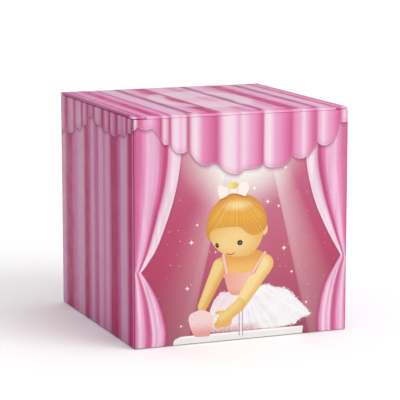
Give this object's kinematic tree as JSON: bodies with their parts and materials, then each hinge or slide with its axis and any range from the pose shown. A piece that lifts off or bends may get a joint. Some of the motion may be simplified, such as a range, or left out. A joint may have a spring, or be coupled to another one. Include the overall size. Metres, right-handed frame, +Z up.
{
  "type": "musical jewellery box",
  "caption": "Cube-shaped musical jewellery box in printed card, with a hinged lid, mirror, ring rolls, wind-up movement and a turning dancer.",
  "frame": {"origin": "centre of the flat base", "axes": "+Z up, the front faces -Y, the winding key points along +Y at the back"},
  "size_m": [0.12, 0.1351, 0.12],
  "materials": {
    "printed_wrap": "pink curtain print, satin varnish",
    "greyboard": "raw grey board",
    "lining": "embossed pink lining paper on board",
    "plush": "short pile velvet",
    "brass": "polished, light patina",
    "steel": "bright turned",
    "zinc": "cast zinc, matte",
    "mirror": "silvered glass",
    "nylon": "moulded",
    "doll": "painted moulding",
    "tulle": "layered tulle"
  },
  "bodies": {
    "case": {"base_panel": "greyboard", "front_board": "greyboard", "back_board": "greyboard", "left_board": "greyboard", "right_board": "greyboard", "wrap_sleeve": "printed_wrap", "deck": "lining", "deck_riser": "lining", "well_floor": "lining", "well_pad": "plush", "well_divider": "lining", "ring_roll_1": "plush", "ring_roll_2": "plush", "ring_roll_3": "plush", "stage_collar": "brass", "hinge_fixed_leaf_left": "brass", "hinge_fixed_leaf_right": "brass", "hinge_pin_left": "steel", "hinge_pin_right": "steel", "hinge_screw_1": "steel", "hinge_screw_2": "steel", "hinge_screw_3": "steel", "hinge_screw_4": "steel", "bedplate": "zinc", "comb": "steel", "comb_screw_1": "steel", "comb_screw_2": "steel", "bearing_left": "brass", "bearing_right": "brass", "governor_frame": "brass", "movement_screw_1": "steel", "movement_screw_2": "steel", "movement_screw_3": "steel"},
    "lid": {"lid_plate": "printed_wrap", "lid_board": "lining", "tuck_lip": "printed_wrap", "mirror_frame": "lining", "mirror": "mirror", "hinge_lid_leaf_left": "brass", "hinge_lid_leaf_right": "brass"},
    "barrel": {"barrel_drum": "brass", "barrel_gear": "brass", "mainspring": "steel"},
    "winder": {"winding_arbor": "steel", "winding_key": "brass"},
    "cylinder_set": {"cylinder": "brass", "cylinder_arbor": "steel", "cylinder_pinion": "brass", "great_wheel": "brass"},
    "dancer": {"take_off_wheel": "nylon", "spindle": "steel", "dancer_spring": "steel", "dancer_figure": "doll", "dancer_tutu": "tulle"},
    "second_arbor": {"second_wheel": "brass"},
    "governor": {"governor_worm": "steel", "air_fan": "nylon"},
    "stop": {"stop_rod": "brass"}
  },
  "joints": [
    {"name": "lid_hinge", "type": "hinge", "parent": "case", "child": "lid", "pos_m": [0, 0.06, 0.1184], "axis": [-1, 0, 0], "range_deg": [0, 105]},
    {"name": "barrel_spin", "type": "hinge", "parent": "case", "child": "barrel", "pos_m": [-0.02755, 0.046, 0.027], "axis": [0, 1, 0], "continuous": true},
    {"name": "cylinder_spin", "type": "hinge", "parent": "case", "child": "cylinder_set", "pos_m": [0, 0.036, 0.027], "axis": [1, 0, 0], "continuous": true},
    {"name": "dancer_spin", "type": "hinge", "parent": "case", "child": "dancer", "pos_m": [0, 0.036, 0.062], "axis": [0, 0, 1], "continuous": true},
    {"name": "second_wheel_spin", "type": "hinge", "parent": "case", "child": "second_arbor", "pos_m": [0.008, 0.036, 0.0165], "axis": [1, 0, 0], "continuous": true},
    {"name": "governor_spin", "type": "hinge", "parent": "case", "child": "governor", "pos_m": [0.0084, 0.0295, 0.0165], "axis": [0, 0, 1], "continuous": true},
    {"name": "key_turn", "type": "hinge", "parent": "case", "child": "winder", "pos_m": [-0.02755, 0.062, 0.027], "axis": [0, 1, 0], "continuous": true},
    {"name": "stop_lift", "type": "slide", "parent": "case", "child": "stop", "axis": [0, 0, 1], "range_m": [0, 0.004]}
  ],
  "couplings": [
    {"joint": "barrel_spin", "follows": "cylinder_spin", "ratio": -0.33333},
    {"joint": "dancer_spin", "follows": "cylinder_spin", "ratio": -1.4286},
    {"joint": "second_wheel_spin", "follows": "cylinder_spin", "ratio": -3.75},
    {"joint": "governor_spin", "follows": "cylinder_spin", "ratio": -37.5},
    {"joint": "stop_lift", "follows": "lid_hinge", "m_per_rad": 0.0021}
  ]
}
